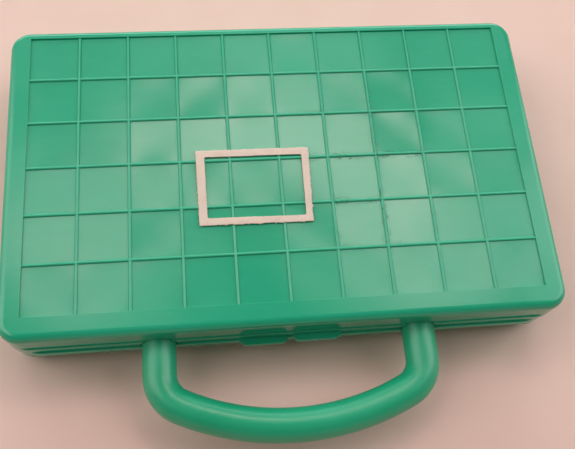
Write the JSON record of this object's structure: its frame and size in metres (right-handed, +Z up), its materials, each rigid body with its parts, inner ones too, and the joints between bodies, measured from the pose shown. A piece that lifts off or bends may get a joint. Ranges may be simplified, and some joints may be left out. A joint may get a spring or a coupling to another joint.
{
  "type": "game case",
  "caption": "Shallow clamshell game case with a ribbed lid, bowed carry handle and thumb tabs, hinged to open onto two peg boards with docked ships and rack pegs.",
  "frame": {"origin": "middle of the case's flat underside, on the table", "axes": "+X along the long side of the ribbed lid, +Y from the handle towards the hinges, +Z up out of the lid"},
  "size_m": [0.2418, 0.2022, 0.0382],
  "materials": {
    "case_plastic": "glossy injection moulded",
    "handle_plastic": "glossy injection moulded",
    "board_plastic": "fine textured moulding",
    "ship_plastic": "satin moulded",
    "red_peg_plastic": "moulded",
    "white_peg_plastic": "moulded",
    "pin_steel": "drawn wire",
    "screw_steel": "zinc plated",
    "label_paper": "torn uncoated paper"
  },
  "bodies": {
    "base": {"base_shell": "case_plastic", "carry_handle": "handle_plastic", "handle_clamp_left": "handle_plastic", "handle_clamp_right": "handle_plastic", "clamp_screws": "screw_steel", "hinge_pin_left": "pin_steel", "hinge_pin_right": "pin_steel", "ocean_board": "board_plastic", "ocean_board_screws": "screw_steel", "hit_pegs": "red_peg_plastic", "miss_pegs": "white_peg_plastic"},
    "lid": {"lid_shell": "case_plastic", "target_board": "board_plastic", "target_board_screws": "screw_steel", "label_frame": "label_paper"},
    "carrier": {"carrier_ship": "ship_plastic"},
    "cruiser": {"cruiser_ship": "ship_plastic"},
    "escort": {"escort_ship": "ship_plastic"},
    "submarine": {"submarine_ship": "ship_plastic"},
    "patrol": {"patrol_ship": "ship_plastic"}
  },
  "joints": [
    {"name": "lid_hinge", "type": "hinge", "parent": "base", "child": "lid", "pos_m": [0, 0.0772, 0.02], "axis": [-1, 0, 0], "range_deg": [0, 110]},
    {"name": "carrier_lift", "type": "slide", "parent": "base", "child": "carrier", "axis": [0, 0, 1], "range_m": [0, 0.0032]},
    {"name": "cruiser_lift", "type": "slide", "parent": "base", "child": "cruiser", "axis": [0, 0, 1], "range_m": [0, 0.0032]},
    {"name": "escort_lift", "type": "slide", "parent": "base", "child": "escort", "axis": [0, 0, 1], "range_m": [0, 0.0032]},
    {"name": "submarine_lift", "type": "slide", "parent": "base", "child": "submarine", "axis": [0, 0, 1], "range_m": [0, 0.0032]},
    {"name": "patrol_lift", "type": "slide", "parent": "base", "child": "patrol", "axis": [0, 0, 1], "range_m": [0, 0.0032]}
  ]
}
